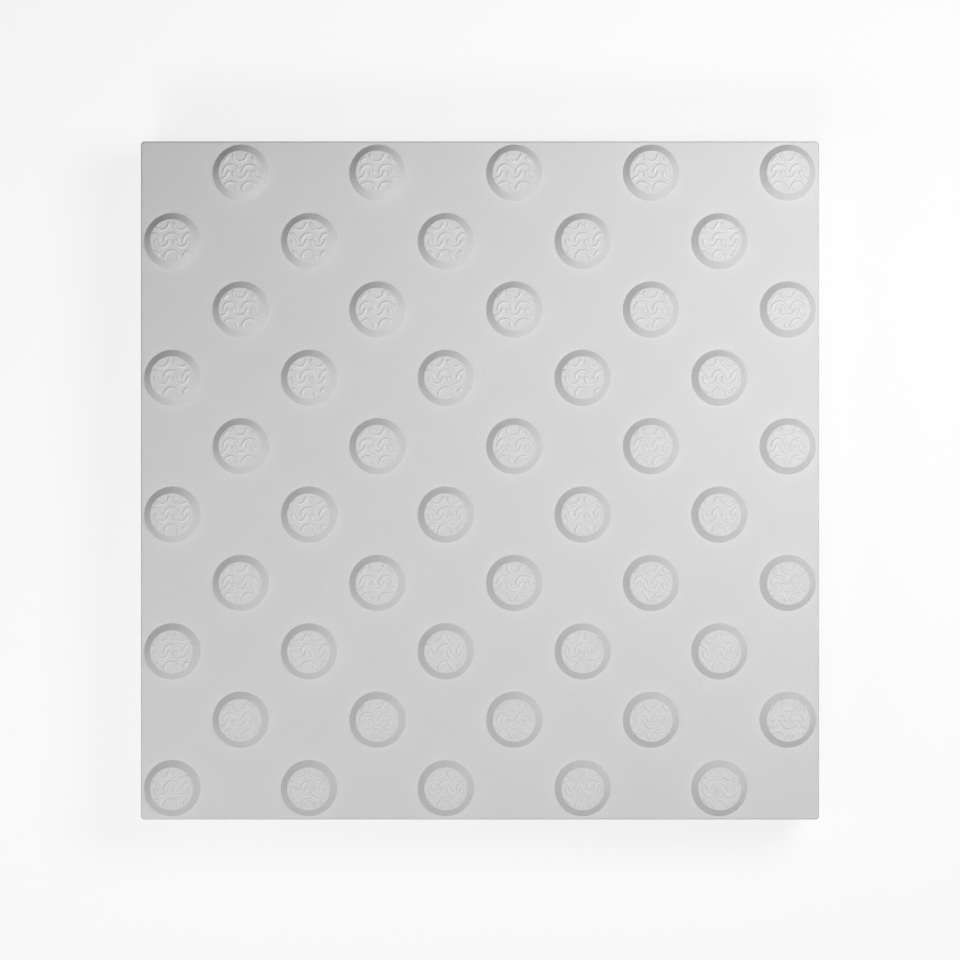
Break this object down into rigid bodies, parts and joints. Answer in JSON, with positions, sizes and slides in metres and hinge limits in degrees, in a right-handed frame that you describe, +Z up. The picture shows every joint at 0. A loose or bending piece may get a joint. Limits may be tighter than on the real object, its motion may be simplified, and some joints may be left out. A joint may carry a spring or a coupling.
{
  "type": "tactile paving slab",
  "caption": "Square light-grey concrete paving slab with a staggered field of flat-topped warning studs, felt underfoot and by cane at crossings and platform edges.",
  "frame": {"origin": "centre of the underside", "axes": "+Z up out of the studded face; +X and +Y along the slab's sides, with studs in the corners towards +X +Y and -X -Y"},
  "size_m": [0.397, 0.397, 0.055],
  "materials": {
    "concrete": "matt fine-faced cast concrete"
  },
  "bodies": {
    "root": {"tactile_slab": "concrete"}
  },
  "joints": []
}
